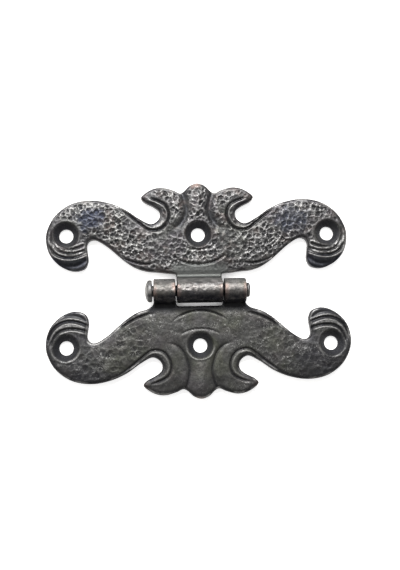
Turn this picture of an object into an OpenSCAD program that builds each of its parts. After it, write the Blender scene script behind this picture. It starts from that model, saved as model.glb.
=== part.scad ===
// Ornamental surface-mount butterfly hinge: two cast leaves and a captive pin.
// X runs along the pin, +Y points to the upper leaf, +Z points out of the
// decorated faces. Z = 0 is the flat back that lies on the woodwork and the
// origin is on that plane, straight behind the middle of the pin.

/* [Leaves] */
// Thickness of a leaf from its back to its decorated face
leaf_t = 2.6; // [2.3:0.1:3.2]
// Height of the stepped edge that softens the rim of the face
edge_step = 0.3; // [0.2:0.05:0.4]
// Width of each step of that edge
edge_w = 0.3; // [0.2:0.05:0.4]
// Straight pieces in each span of the outline
smooth = 4; // [2:1:5]
// How far the upper leaf's ornament stands off, for its longer neck
upper_off = 0.8; // [0.6:0.1:1]
// How far the lower leaf's ornament stands off
lower_off = -0.25; // [-0.3:0.05:0]

/* [Screw holes] */
// Diameter of a screw's clearance hole
hole_d = 4.1; // [3.6:0.1:4.4]
// Diameter of the countersink at the face
sink_d = 7.6; // [7.0:0.1:8.0]
// Angle of the countersink, side to side
sink_angle = 90; // [82:1:100]
// Distance of the row of screws from the pin, before a leaf's own offset
screw_y = 16.1; // [15.8:0.1:16.4]
// Distance of an outer screw from the middle one
screw_x = 38.7; // [38.3:0.1:38.9]

/* [Knuckles and pin] */
// Outer diameter of a knuckle
knuckle_d = 7.1; // [6.8:0.1:7.3]
// Length of the middle knuckle, which belongs to the upper leaf
mid_len = 13.2; // [12.8:0.1:13.6]
// Gap between the end faces of neighbouring knuckles
end_gap = 0.5; // [0.3:0.1:0.7]
// Length of each outer knuckle, which belongs to the lower leaf
outer_len = 6.3; // [6:0.1:6.6]
// Diameter of the pin's shank
pin_d = 3.2; // [2.8:0.1:3.4]
// Radial clearance of the pin in the knuckles
pin_play = 0.06; // [0.03:0.01:0.1]
// Diameter of the pin's domed head
head_d = 6.4; // [5.6:0.1:6.8]
// Diameter of the pin's peened tail
tail_d = 4.2; // [3.8:0.1:4.6]

/* [Relief] */
// Depth of the cut lines
line_depth = 0.35; // [0.2:0.05:0.5]
// Width of the cut lines
line_w = 0.6; // [0.4:0.1:0.8]
// Depth of the two valleys beside the crest
valley_depth = 0.45; // [0.3:0.05:0.6]
// Height of the bead that follows each bay
bead_h = 0.3; // [0.2:0.05:0.4]

/* [Hidden] */
$fn = 48;

knuckle_r = knuckle_d / 2;
// The pin sits so that the knuckles clear the woodwork by 0.2 mm.
axis_z = knuckle_r + 0.2;
bore_r = pin_d / 2 + pin_play;
mid_x = mid_len / 2;
outer_in = mid_x + end_gap;
outer_out = outer_in + outer_len;
// The neck's fillet, from the face of the leaf up the side of the knuckle.
neck_r = 1.6;
neck_y = sqrt(pow(knuckle_r + neck_r - 0.06, 2) - pow(leaf_t + neck_r - axis_z, 2));

// Half of a leaf's rim, from the crest's tip round the horn, the bay, the arm
// and the scroll, back along the inner edge to the neck. x from the middle,
// y from the pin.
half_rim = [
    // crest and notch
    [0, 31.4], [2.2, 30.7], [4, 29.1], [5.2, 28.6],
    // horn
    [7.2, 29.4], [10.5, 30.2], [13.4, 29.7], [16.2, 27.9], [16.7, 27.1], [15.8, 26],
    // bay
    [13, 24.5], [11.5, 23.3], [11.1, 22], [11.7, 20.5], [13.8, 19.3], [17.3, 20.9],
    // arm
    [21.4, 23.7], [26.2, 25.7], [31.6, 26.5], [37.2, 25.4], [41.7, 22.1],
    // scroll
    [44, 18], [44.45, 14.9], [43.4, 10.6], [40.4, 7.2], [36.3, 5.6], [33.2, 6.4],
    [32.2, 8.6], [32.5, 11.5], [32.6, 13.3], [31.8, 14.5],
    // inner edge
    [30.3, 14.8], [27.2, 13.1], [21.4, 8.2], [18.4, 6.3], [15.3, 5.3]
];

// How the inner edge of the upper leaf meets the neck of the middle knuckle.
upper_end = [[12.2, 5.8], [9.4, 5.45], [7.4, 5.3]];
// How the inner edge of the lower leaf flares up the outer knuckle.
lower_end = [[14.5, 4.7], [13.8, 4.1], [13.4, 3.3]];

// Cut lines of the relief, on the right half.
valley_line = [[5, 29.4], [4.1, 27.4], [3.5, 25.2], [3.2, 23], [3.9, 20.6], [5.6, 18.6], [7.8, 17.3]];
bay_line = [[27, 25.6], [23.5, 24], [20, 21.6], [17, 19.3], [14, 17.5], [11.2, 18], [9.6, 20], [9.2, 22.4], [10.2, 24.3], [12.4, 25.6], [14.6, 26.3]];
bay_bead = [[24.2, 24.6], [21, 22.6], [17.4, 20.1], [14, 18.3], [11.7, 18.7], [10.3, 20.4], [10, 22.3], [10.9, 23.8], [12.8, 25]];
upper_border = [[22.6, 9.7], [20.4, 8.6], [18.2, 7.8], [15.6, 7.4], [12.9, 7.8]];
lower_border = [[23.4, 11], [21.2, 9.5], [19, 8.3], [16.6, 7.4], [14.4, 7]];
scroll_in = [[42.9, 15.4], [42.3, 13.2], [40.6, 11.5], [38, 10.7], [35.6, 10.8], [33.6, 11.3], [31.6, 11.9]];
scroll_out = [[43.7, 13.8], [42.6, 11], [40.7, 9.4], [38.2, 8.6], [35.8, 8.7], [33.6, 9.4], [31.6, 10.2]];

// Points on the span from p1 to p2 of a centripetal Catmull-Rom spline.
function span(p0, p1, p2, p3, n) =
    let (t1 = sqrt(norm(p1 - p0)), t2 = t1 + sqrt(norm(p2 - p1)), t3 = t2 + sqrt(norm(p3 - p2)))
    [for (j = [0 : n - 1])
        let (t = t1 + (t2 - t1) * j / n,
             a1 = (t1 - t) / t1 * p0 + t / t1 * p1,
             a2 = ((t2 - t) * p1 + (t - t1) * p2) / (t2 - t1),
             a3 = ((t3 - t) * p2 + (t - t2) * p3) / (t3 - t2),
             b1 = ((t2 - t) * a1 + t * a2) / t2,
             b2 = ((t3 - t) * a2 + (t - t1) * a3) / (t3 - t1))
        ((t2 - t) * b1 + (t - t1) * b2) / (t2 - t1)];

// A smooth line through p, with before and after as its end tangents.
function spline(p, before, after, n) =
    let (q = concat([before], p, [after]))
    concat([for (i = [1 : len(p) - 1]) each span(q[i - 1], q[i], q[i + 1], q[i + 2], n)], [p[len(p) - 1]]);

function open_spline(p, n) =
    spline(p, 2 * p[0] - p[1], 2 * p[len(p) - 1] - p[len(p) - 2], n);

function flip_x(p) = [for (i = [len(p) - 1 : -1 : 0]) [-p[i][0], p[i][1]]];

// A closed rim from its right half: the spline, moved off the pin by off, then
// the neck's own corners.
function rim(off, ends, corners) =
    let (p = concat([for (q = half_rim) q + [0, off]], ends),
         right = concat(spline(p, [-p[1][0], p[1][1]], 2 * p[len(p) - 1] - p[len(p) - 2], smooth), corners))
    concat(right, [for (q = flip_x(right)) if (q[0] != 0) q]);

// A band of width w along the line p, as one closed outline.
function band(p, w) =
    let (n = len(p),
         d = [for (i = [0 : n - 1]) let (v = p[min(i + 1, n - 1)] - p[max(i - 1, 0)]) v / norm(v)])
    concat([for (i = [0 : n - 1]) p[i] + w / 2 * [-d[i][1], d[i][0]]],
           [for (i = [n - 1 : -1 : 0]) p[i] - w / 2 * [-d[i][1], d[i][0]]]);

function arc(c, r, a0, a1, n) = [for (i = [0 : n]) let (a = a0 + (a1 - a0) * i / n) c + r * [cos(a), sin(a)]];

// A leaf's plate: full outline below, then the steps of its edge.
module plate(outline) {
    base_h = leaf_t - 2 * edge_step;
    linear_extrude(base_h) polygon(outline);
    translate([0, 0, base_h - 0.1]) linear_extrude(edge_step + 0.1) offset(delta = -edge_w) polygon(outline);
    translate([0, 0, base_h + edge_step - 0.1]) linear_extrude(edge_step + 0.1) offset(delta = -2 * edge_w) polygon(outline);
}

// The low bulb that swells along the crest.
module crest_bulb() {
    translate([0, 26.6, leaf_t - 9.9]) sphere(r = 10.4);
}

// A cut or a bead of width w along the line p, from z0 to z1, on both halves.
module both_bands(p, w, z0, z1) {
    for (side = [1, -1])
        translate([0, 0, z0]) linear_extrude(z1 - z0)
            polygon([for (q = band(open_spline(p, 4), w)) [side * q[0], q[1]]]);
}

// A screw hole with its countersink, open at both faces.
module screw_hole(x) {
    sink_h = (sink_d - hole_d) / 2 / tan(sink_angle / 2);
    translate([x, screw_y, -1]) cylinder(d = hole_d, h = leaf_t + 2);
    translate([x, screw_y, leaf_t - sink_h]) cylinder(d1 = hole_d, d2 = hole_d + 2 * (sink_h + 1) * tan(sink_angle / 2), h = sink_h + 1);
}

module screw_holes() {
    for (x = [-screw_x, 0, screw_x]) screw_hole(x);
}

// The neck that carries a knuckle, from x0 to x1: flat back, filleted front.
module neck(x0, x1) {
    fillet = [for (i = [0 : 8]) let (a = 270 - i * 10.5) [neck_y + neck_r * cos(a), leaf_t + neck_r + neck_r * sin(a)]];
    translate([x0, 0, 0]) rotate([90, 0, 90]) linear_extrude(x1 - x0)
        polygon(concat([[2.7, 0], [neck_y + 0.6, 0], [neck_y + 0.6, leaf_t]], fillet,
                       [[2.1, axis_z + 0.3], [1.6, 1.7], [1.9, 0.6]]));
}

module knuckle(x0, x1) {
    translate([x0, 0, axis_z]) rotate([0, 90, 0]) cylinder(r = knuckle_r, h = x1 - x0);
}

module pin_bore() {
    translate([-20, 0, axis_z]) rotate([0, 90, 0]) cylinder(r = bore_r, h = 40);
}

// The decoration that both leaves share, cut into the face.
module shared_cuts() {
    top = leaf_t + 2;
    both_bands(bay_line, line_w, leaf_t - line_depth, top);
    both_bands(scroll_in, line_w, leaf_t - line_depth, top);
    both_bands(scroll_out, line_w + 0.1, leaf_t - line_depth - 0.05, top);
}

// A cut arc centred on the middle line.
module arc_cut(y0, r, half_angle) {
    translate([0, 0, leaf_t - line_depth]) linear_extrude(2)
        polygon(band(arc([0, y0 + r], r, -90 - half_angle, -90 + half_angle, 16), line_w));
}

module upper_leaf() {
    outline = rim(upper_off, upper_end, concat(arc([mid_x + 0.8, 4.5], 0.8, 112.5, 180, 3), [[mid_x, 2.7]]));
    color([0.36, 0.35, 0.35]) difference() {
        union() {
            difference() {
                union() {
                    plate(outline);
                    crest_bulb_on(outline, upper_off);
                    translate([0, upper_off, 0]) both_bands(bay_bead, 0.7, leaf_t - 0.5, leaf_t + bead_h);
                }
                translate([0, upper_off, 0]) {
                    shared_cuts();
                    both_bands(valley_line, 1.6, leaf_t - valley_depth, leaf_t + 2);
                    both_bands(upper_border, line_w, leaf_t - line_depth, leaf_t + 2);
                    arc_cut(7.2, 13, 42);
                }
            }
            neck(-mid_x, mid_x);
            knuckle(-mid_x, mid_x);
        }
        translate([0, upper_off, 0]) screw_holes();
        pin_bore();
    }
}

module lower_leaf() {
    slot_y = 4.35;
    outline = rim(lower_off, lower_end, [[outer_out, 2.7], [outer_in, 2.7], [outer_in, slot_y - 1],
                                         each arc([outer_in - 1, slot_y - 1], 1, 22.5, 90, 3)]);
    color([0.32, 0.31, 0.31]) mirror([0, 1, 0]) difference() {
        union() {
            difference() {
                union() {
                    plate(outline);
                    crest_bulb_on(outline, lower_off);
                    translate([0, lower_off, 0]) both_bands(bay_bead, 0.7, leaf_t - 0.5, leaf_t + bead_h);
                }
                translate([0, lower_off, 0]) {
                    shared_cuts();
                    both_bands(valley_line, 0.8, leaf_t - valley_depth, leaf_t + 2);
                    both_bands(lower_border, line_w, leaf_t - line_depth, leaf_t + 2);
                    arc_cut(5.9, 12, 38);
                    arc_cut(11.1, 10.8, 33);
                }
            }
            for (x = [-outer_out, outer_in]) {
                neck(x, x + outer_len);
                knuckle(x, x + outer_len);
            }
        }
        translate([0, lower_off, 0]) screw_holes();
        pin_bore();
    }
}

// The bulb, kept inside the leaf's rim.
module crest_bulb_on(outline, off) {
    intersection() {
        translate([0, off, 0]) crest_bulb();
        translate([0, 0, leaf_t - 0.5]) linear_extrude(2) polygon(outline);
    }
}

// The pin: a domed head at -X, a shank through all three knuckles and a tail
// peened into a button at +X. Head and tail stand a little off the knuckles.
module hinge_pin() {
    head_h = 2.1;
    head_x = -outer_out - 0.4;
    tail_x = outer_out + 0.3;
    dome = [for (i = [0 : 8]) let (a = i * 90 / 8) [head_d / 2 * cos(a), 0.8 + (head_h - 0.8) * sin(a)]];
    color([0.45, 0.45, 0.46]) translate([0, 0, axis_z]) {
        translate([head_x, 0, 0]) rotate([0, -90, 0]) rotate_extrude()
            polygon(concat([[0, 0], [head_d / 2 - 0.2, 0], [head_d / 2, 0.25]], dome));
        translate([head_x - 0.5, 0, 0]) rotate([0, 90, 0]) cylinder(d = pin_d, h = tail_x - head_x + 0.9);
        translate([tail_x, 0, 0]) rotate([0, 90, 0]) rotate_extrude()
            polygon([[0, 0], [tail_d / 2 - 0.1, 0], [tail_d / 2, 0.15], [tail_d / 2, 0.5], [tail_d / 2 - 0.3, 0.85], [tail_d / 2 - 0.9, 1], [0, 1]]);
    }
}

upper_leaf();
lower_leaf();
hinge_pin();
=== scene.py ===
import bpy
import bmesh
import math
import numpy as np
from mathutils import Matrix, Vector
from mathutils.geometry import delaunay_2d_cdt
from mathutils.kdtree import KDTree


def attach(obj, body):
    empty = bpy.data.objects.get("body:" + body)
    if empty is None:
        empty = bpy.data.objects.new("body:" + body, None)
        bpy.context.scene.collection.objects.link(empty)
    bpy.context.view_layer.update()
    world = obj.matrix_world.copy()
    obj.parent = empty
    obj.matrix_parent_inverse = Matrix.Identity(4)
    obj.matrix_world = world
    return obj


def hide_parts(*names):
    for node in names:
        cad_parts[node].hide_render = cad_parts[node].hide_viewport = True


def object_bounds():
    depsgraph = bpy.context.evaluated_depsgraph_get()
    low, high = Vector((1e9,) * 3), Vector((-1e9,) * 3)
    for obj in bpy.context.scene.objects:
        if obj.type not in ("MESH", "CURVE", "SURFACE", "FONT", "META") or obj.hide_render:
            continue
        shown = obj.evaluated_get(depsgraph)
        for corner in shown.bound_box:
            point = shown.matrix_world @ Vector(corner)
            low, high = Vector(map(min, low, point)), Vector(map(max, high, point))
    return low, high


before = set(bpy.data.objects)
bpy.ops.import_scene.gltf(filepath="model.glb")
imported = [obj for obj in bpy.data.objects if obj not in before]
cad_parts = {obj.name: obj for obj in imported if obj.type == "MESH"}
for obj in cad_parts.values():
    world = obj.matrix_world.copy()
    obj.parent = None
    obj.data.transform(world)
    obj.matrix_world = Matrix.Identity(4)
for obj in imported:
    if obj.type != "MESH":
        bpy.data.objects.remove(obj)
cad_lo, cad_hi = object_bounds()

MM = 0.001
T = 2.6             # leaf thickness, mm
KR = 3.55           # knuckle radius
AZ = KR + 0.2       # height of the pin's axis over the back
BORE = 1.66
HOLE = 2.05         # screw hole radius
SINK = 3.8          # countersink radius at the face
SX, SY = 38.7, 16.1
MID = 6.6
O_IN, O_OUT = 7.1, 13.4
NECK_R = 1.6
NECK_Y = math.sqrt((KR + NECK_R - 0.06) ** 2 - (T + NECK_R - AZ) ** 2)

# ---------------------------------------------------------------- outlines
HALF = [[0, 31.4], [2.2, 30.7], [4, 29.1], [5.2, 28.6],
        [7.2, 29.4], [10.5, 30.2], [13.4, 29.7], [16.2, 27.9], [16.7, 27.1], [15.8, 26],
        [13, 24.5], [11.5, 23.3], [11.1, 22], [11.7, 20.5], [13.8, 19.3], [17.3, 20.9],
        [21.4, 23.7], [26.2, 25.7], [31.6, 26.5], [37.2, 25.4], [41.7, 22.1],
        [44, 18], [44.45, 14.9], [43.4, 10.6], [40.4, 7.2], [36.3, 5.6], [33.2, 6.4],
        [32.2, 8.6], [32.5, 11.5], [32.6, 13.3], [31.8, 14.5],
        [30.3, 14.8], [27.2, 13.1], [21.4, 8.2], [18.4, 6.3], [15.3, 5.3]]
BAY_LINE = [[27.5, 25.9], [23.5, 24.1], [20, 21.7], [17, 19.3], [14, 17.3], [11.0, 17.7], [9.1, 19.7], [8.5, 22.4], [9.5, 24.8], [11.9, 26.2], [14.6, 27.0]]
BAY_BEAD = [[26.0, 25.4], [22.6, 23.9], [19.4, 21.8], [16.6, 19.7], [14, 18.1], [11.4, 18.5], [9.8, 20.2], [9.2, 22.3], [10.2, 24.2], [12.5, 25.6], [15.0, 26.5]]
VALLEY = [[5.1, 29.6], [4.2, 27.6], [3.6, 25.4], [3.4, 23], [4.2, 20.6], [5.8, 18.5], [8.2, 17.0], [10, 16.4]]
VALLEY_L = [[5.1, 29.4], [4.2, 27.6], [3.6, 25.4], [3.3, 23], [3.9, 20.3], [4.9, 18.0], [6.5, 16.3], [8.5, 15.4], [10.4, 15.1]]
BORDER_U = [[23.4, 10.3], [21.9, 9.1], [20.2, 8.3], [18.2, 7.7], [15.6, 7.3], [13.4, 7.5], [12.2, 8.0]]
BORDER_L = [[24.2, 11.5], [22.6, 10.3], [21.2, 9.4], [19, 8.2], [16.8, 7.3], [14.8, 6.8], [13.2, 7.0]]
SCROLL_IN = [[43.2, 16.4], [42.9, 14.9], [42.0, 13.0], [40.4, 11.4], [38, 10.7], [35.6, 10.8], [33.6, 11.3], [32.0, 11.9]]
SCROLL_OUT = [[43.9, 15.2], [43.5, 13.2], [42.4, 10.9], [40.6, 9.3], [38.2, 8.5], [35.8, 8.7], [33.6, 9.4], [31.9, 10.2]]
RISE_IN = [[42.6, 18.0], [42.7, 15.6], [41.9, 13.9], [40.2, 12.5], [38, 11.95], [35.8, 12.1], [33.8, 12.9]]
TIP_IN = [[43.3, 13.4], [42.0, 10.9], [40.3, 9.9], [38.2, 9.5], [35.8, 9.7], [33.8, 10.4], [32.0, 11.2]]
TIP_OUT = [[42.6, 9.9], [40.9, 8.1], [38.6, 7.15], [36.0, 7.0], [34.0, 7.8], [32.7, 8.9]]
LOBE = [[40.6, 7.9], [38.4, 6.9], [36.2, 6.7], [34.4, 7.2], [33.3, 8.2]]


def catmull(pts, before, after, n):
    """Centripetal Catmull-Rom through pts, as an array of points."""
    q = np.array([before] + list(pts) + [after], float)
    out = []
    for i in range(1, len(q) - 2):
        p0, p1, p2, p3 = q[i - 1:i + 3]
        t1 = math.sqrt(np.linalg.norm(p1 - p0))
        t2 = t1 + math.sqrt(np.linalg.norm(p2 - p1))
        t3 = t2 + math.sqrt(np.linalg.norm(p3 - p2))
        for j in range(n):
            t = t1 + (t2 - t1) * j / n
            a1 = (t1 - t) / t1 * p0 + t / t1 * p1
            a2 = ((t2 - t) * p1 + (t - t1) * p2) / (t2 - t1)
            a3 = ((t3 - t) * p2 + (t - t2) * p3) / (t3 - t2)
            b1 = ((t2 - t) * a1 + t * a2) / t2
            b2 = ((t3 - t) * a2 + (t - t1) * a3) / (t3 - t1)
            out.append(((t2 - t) * b1 + (t - t1) * b2) / (t2 - t1))
    out.append(q[-2])
    return np.array(out)


def line(pts, n=6):
    p = np.array(pts, float)
    return catmull(pts, 2 * p[0] - p[1], 2 * p[-1] - p[-2], n)


def resample(p, step, closed=False):
    if closed:
        p = np.vstack([p, p[:1]])
    s = np.r_[0, np.cumsum(np.linalg.norm(np.diff(p, axis=0), axis=1))]
    n = max(2, int(round(s[-1] / step)))
    t = np.linspace(0, s[-1], n + 1)
    out = np.c_[np.interp(t, s, p[:, 0]), np.interp(t, s, p[:, 1])]
    return out[:-1] if closed else out


def arc(cx, cy, r, a0, a1, n):
    a = np.radians(np.linspace(a0, a1, n + 1))
    return np.c_[cx + r * np.cos(a), cy + r * np.sin(a)]


def rim(kind):
    """The closed outline of a leaf's plate, +y away from the pin, counter-clockwise."""
    if kind == "upper":
        off = 0.8
        ends = [[12.2, 5.8], [9.4, 5.45], [7.4, 5.3]]
        corners = np.vstack([arc(MID + 0.8, 4.5, 0.8, 96, 180, 8), [[MID, 2.7]]])
    else:
        off = -0.25
        ends = [[14.5, 4.7], [13.8, 4.1], [O_OUT, 3.3]]
        corners = np.vstack([[[O_OUT, 2.7], [O_IN - 0.28, 2.7]], arc(O_IN - 1.08, 3.55, 0.8, 0, 90, 8)])
    p = [[x, y + off] for x, y in HALF] + ends
    q = np.array(p, float)
    right = np.vstack([catmull(p, [-q[1, 0], q[1, 1]], 2 * q[-1] - q[-2], 10), corners])
    left = right[::-1] * [-1, 1]
    left = left[np.abs(left[:, 0]) > 1e-6]
    return np.vstack([right, left])[::-1]


# ---------------------------------------------------------------- smooth fields
def seg_dist(P, L):
    """Distance from each of P to polyline L, and how far along it (0 to 1)."""
    best = np.full(len(P), 1e9)
    along = np.zeros(len(P))
    seg = np.linalg.norm(np.diff(L, axis=0), axis=1)
    s = np.r_[0, np.cumsum(seg)]
    for i in range(len(L) - 1):
        a, ab = L[i], L[i + 1] - L[i]
        t = np.clip(((P - a) @ ab) / (ab @ ab), 0, 1)
        d = np.linalg.norm(P - a - t[:, None] * ab, axis=1)
        k = d < best
        best[k] = d[k]
        along[k] = (s[i] + t[k] * seg[i]) / s[-1]
    return best, along


def smooth(e0, e1, x):
    t = np.clip((x - e0) / (e1 - e0), 0, 1)
    return t * t * (3 - 2 * t)


def fade(t, a=0.12, b=0.12):
    return smooth(0, a, t) * smooth(0, b, 1 - t)


def hash2(ix, iy, k):
    v = np.sin(ix * 127.1 + iy * 311.7 + k * 74.7) * 43758.5453
    return v - np.floor(v)


def value_noise(P, scale, k):
    q = P / scale
    i = np.floor(q)
    f = q - i
    f = f * f * (3 - 2 * f)
    a = hash2(i[:, 0], i[:, 1], k)
    b = hash2(i[:, 0] + 1, i[:, 1], k)
    c = hash2(i[:, 0], i[:, 1] + 1, k)
    d = hash2(i[:, 0] + 1, i[:, 1] + 1, k)
    return (a + (b - a) * f[:, 0]) * (1 - f[:, 1]) + (c + (d - c) * f[:, 0]) * f[:, 1]


def fbm(P, scale, k, n=3):
    out = np.zeros(len(P))
    amp = 1.0
    tot = 0.0
    for o in range(n):
        out += amp * value_noise(P + 17.3 * o, scale / 2 ** o, k + o)
        tot += amp
        amp *= 0.5
    return out / tot


def worley(P, cell, k, jit=0.85):
    """Distances to the nearest and second nearest jittered points, in cells, and the nearest one's own number."""
    q = P / cell
    q = np.c_[q[:, 0], q[:, 1]]
    i = np.floor(q)
    f1 = np.full(len(P), 9.0)
    f2 = np.full(len(P), 9.0)
    who = np.zeros(len(P))
    for dx in (-1, 0, 1):
        for dy in (-1, 0, 1):
            cx, cy = i[:, 0] + dx, i[:, 1] + dy
            px = cx + 0.5 + jit * (hash2(cx, cy, k) - 0.5)
            py = cy + 0.5 + jit * (hash2(cx, cy, k + 5) - 0.5)
            d = np.hypot(q[:, 0] - px, q[:, 1] - py)
            w = hash2(cx, cy, k + 9)
            near = d < f1
            f2 = np.where(near, f1, np.minimum(f2, d))
            who = np.where(near, w, who)
            f1 = np.where(near, d, f1)
    return f1, f2, who


LINES = {k: line(v) for k, v in dict(
    bay=BAY_LINE, bead=BAY_BEAD, valley=VALLEY, valley_l=VALLEY_L, border_u=BORDER_U, border_l=BORDER_L,
    s_in=SCROLL_IN, s_out=SCROLL_OUT, rise=RISE_IN, tip_in=TIP_IN, tip_out=TIP_OUT, lobe=LOBE).items()}


def relief(P, d, kind):
    """Height of the face at P (mm; +y away from the pin), d from the rim, and the masks used by the materials."""
    upper = kind == "upper"
    off = 0.8 if upper else -0.25
    C = np.c_[np.abs(P[:, 0]), P[:, 1] - off]       # drawn on the right half
    seed = 8 if upper else 41
    N = P + (0 if upper else 200)
    y = C[:, 1]
    h = np.zeros(len(P))
    cut = np.zeros(len(P))

    # the neck: smooth and flat near the barrel
    wander = 0.7 * (fbm(N, 2.0, seed + 60, 2) - 0.5)
    neck = smooth(9.3 if upper else 7.6, 6.8 if upper else 5.0, P[:, 1] + wander) * smooth(9.5 if upper else 15.5, 6.5 if upper else 14.0, C[:, 0])
    # a slow swell over the whole leaf, and the crest's bulb
    swell = 0.16 * smooth(0.5, 4.0, d)
    bulb = 0.42 * np.exp(-((C[:, 0] / 2.3) ** 2 + ((y - 27.6) / 3.6) ** 2))
    rib = 0.22 * np.exp(-((C[:, 0] / 1.6) ** 2)) * smooth(20.2, 22.5, y)
    h += (swell + bulb + rib) * (1 - neck)

    # the bead and groove that follow each bay
    dg, tg = seg_dist(C, LINES["bay"])
    db, tb = seg_dist(C, LINES["bead"])
    fg = smooth(0, 0.3, tg) * smooth(0, 0.07, 1 - tg)
    fb = smooth(0, 0.25, tb) * smooth(0, 0.05, 1 - tb)
    gw = 0.24 + 0.08 * fg
    g = np.exp(-(dg / gw) ** 2) * fg
    h -= (0.44 if upper else 0.36) * g
    cut = np.maximum(cut, g)
    h += (0.17 if upper else 0.09) * np.exp(-(db / 0.25) ** 2) * fb
    bead = np.exp(-(db / 0.20) ** 2) * fb
    flange = np.exp(-(db / 1.5) ** 2) * fb

    # the line inside the inner edge
    dn, tn = seg_dist(C, LINES["border_u" if upper else "border_l"])
    fn = fade(tn, 0.22, 0.25)
    g = np.exp(-(dn / 0.30) ** 2) * fn
    h -= 0.42 * g
    cut = np.maximum(cut, g)

    # valleys beside the crest
    if upper:
        dv, tv = seg_dist(C, LINES["valley"])
        fv = smooth(1.0, 0.55, tv)
        val = np.exp(-(dv / 1.0) ** 2) * fv
        h -= 0.72 * val
        crisp = 0 * val
    else:
        dv, tv = seg_dist(C, LINES["valley_l"])
        fv = smooth(1.0, 0.7, tv)
        val = np.exp(-(dv / 0.95) ** 2) * fv
        crisp = np.exp(-(dv / 0.30) ** 2) * fv
        h -= 0.26 * val + 0.24 * crisp
        cut = np.maximum(cut, 0.8 * crisp)
    # arcs between the neck and the middle hole
    for (y0, r, w, dep, half) in ([(7.0, 13.0, 0.30, 0.34, 9.2), (11.3, 9.6, 0.35, 0.16, 5.2)] if upper else [(5.9, 12.0, 0.21, 0.32, 9.0), (11.2, 10.8, 0.21, 0.24, 6.2)]):
        rr = np.hypot(C[:, 0], y - (y0 + r))
        on = smooth(half, half * 0.55, C[:, 0]) * (y < y0 + r * 0.6)
        g = np.exp(-((rr - r) / w) ** 2) * on
        h -= dep * g
        cut = np.maximum(cut, g * dep / 0.36)
        h += (0.10 if upper else 0.045) * np.exp(-((rr - r + 0.75) / 0.45) ** 2) * on * (1 - neck)

    # crescents of the scroll
    scroll = np.zeros(len(P))
    ridge = np.zeros(len(P))
    if upper:
        grooves = (("rise", 0.30, 0.34, 0.16), ("s_in", 0.36, 0.46, 0.14), ("tip_in", 0.40, 0.52, 0.12), ("tip_out", 0.55, 0.20, 0.2))
    else:
        grooves = (("s_in", 0.38, 0.42, 0.14), ("s_out", 0.44, 0.52, 0.12), ("tip_out", 0.50, 0.18, 0.2))
    for name, w, dep, f0 in grooves:
        ds, ts = seg_dist(C, LINES[name])
        f = smooth(0, f0, ts)
        g = np.exp(-(ds / w) ** 2) * f
        h -= dep * g
        cut = np.maximum(cut, g * min(1, dep / 0.4))
        ridge = np.maximum(ridge, np.exp(-((ds - 0.75) / 0.22) ** 2) * f * (dep > 0.3))
        scroll = np.maximum(scroll, np.exp(-(ds / 1.5) ** 2))
    h += 0.10 * ridge
    dl, tl = seg_dist(C, LINES["lobe"])
    h -= 0.18 * np.exp(-(dl / 0.9) ** 2)
    in_scroll = ((C[:, 0] > 31.3) & (y < 12.2)).astype(float)
    scroll = np.maximum(scroll, in_scroll * smooth(0.2, -0.2, y - 11.6))

    # countersinks
    near = np.full(len(P), 99.0)
    turn = np.zeros(len(P))
    for sx in (0.0, SX):
        r = np.hypot(C[:, 0] - sx, y - SY)
        turn = np.where(r < near, (y - SY) / np.maximum(r, 0.1), turn)
        near = np.minimum(near, r)
    low_side = smooth(-0.15, 0.55, -turn if upper else turn)
    lip = np.exp(-((near - (SINK + 0.30)) / 0.30) ** 2)
    h += (0.03 + 0.04 * low_side) * lip

    # the hammered skin
    calm = np.clip(neck + 0.85 * (val if upper else 0.6 * val) + 0.9 * np.exp(-(dg / 0.9) ** 2) * fg + 0.9 * scroll + bead + smooth(4.9, 4.1, near) * 0.8
                   + smooth(1.25, 0.55, d) * 0.85 + (0.75 * np.exp(-(dn / 1.0) ** 2) * fn), 0, 1)
    warp = np.c_[fbm(N, 2.6, 7, 3), fbm(N, 2.6, 18, 3)] * 0.95
    patch = fbm(N, 6.5, seed + 50, 3)
    if upper:
        amp = np.clip(0.35 + 1.5 * (patch - 0.18), 0.35, 1.25)
        w1, w2, who = worley(N + warp, 1.60, seed, 1.0)
        v1, v2, whov = worley(N + 1.2 * warp, 0.95, seed + 3, 1.0)
        pit = smooth(0.58, 0.30, w1) * (0.35 + 0.75 * who)
        pit2 = smooth(0.52, 0.22, v1) * smooth(0.35, 0.75, whov)
        edge = smooth(0.22, 0.04, w2 - w1) + 0.4 * smooth(0.18, 0.04, v2 - v1)
        n1 = fbm(N, 0.9, seed + 20, 3) - 0.5
        hammer = amp * (-0.19 * pit - 0.09 * pit2) + 0.06 * edge * amp + 0.12 * n1
        low = np.clip(1.15 * pit + 0.6 * pit2, 0, 1) * np.clip(amp + 0.2, 0, 1)
        high = np.clip(edge, 0, 1) * np.clip(2.2 * (patch - 0.30) + 0.45 * (n1 > -0.02), 0, 1)
    else:
        arm = smooth(11.0, 19.0, C[:, 0])
        w1, w2, who = worley(N + warp, 1.85, seed, 1.0)
        pit = smooth(0.66, 0.26, w1) * (0.15 + 0.85 * who)
        n1 = fbm(N, 1.0, seed + 20, 3) - 0.5
        k = 0.22 + 0.78 * arm
        edge = smooth(0.16, 0.03, w2 - w1) * k
        hammer = -0.12 * pit * k + 0.03 * edge + 0.10 * n1
        low = np.clip(1.1 * pit * k * np.clip(0.5 + 1.4 * (patch - 0.25), 0, 1), 0, 1)
        high = edge * np.clip(3.0 * (patch - 0.36), 0, 1) * (n1 > -0.06)
    h += hammer * (1 - calm)
    h += 0.035 * (fbm(N, 0.7, seed + 31, 2) - 0.5)

    # rounded shoulder at the rim, small beside the neck
    w = 1.45 - 0.95 * np.clip(neck * 1.4, 0, 1) - 0.35 * flange * (1 - neck)
    e = 0.78 - 0.45 * np.clip(neck * 1.4, 0, 1)
    u = 1 - np.clip(d / w, 0, 1)
    h -= e * (1 - np.sqrt(np.clip(1 - u ** 2.3, 0, 1)))

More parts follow.
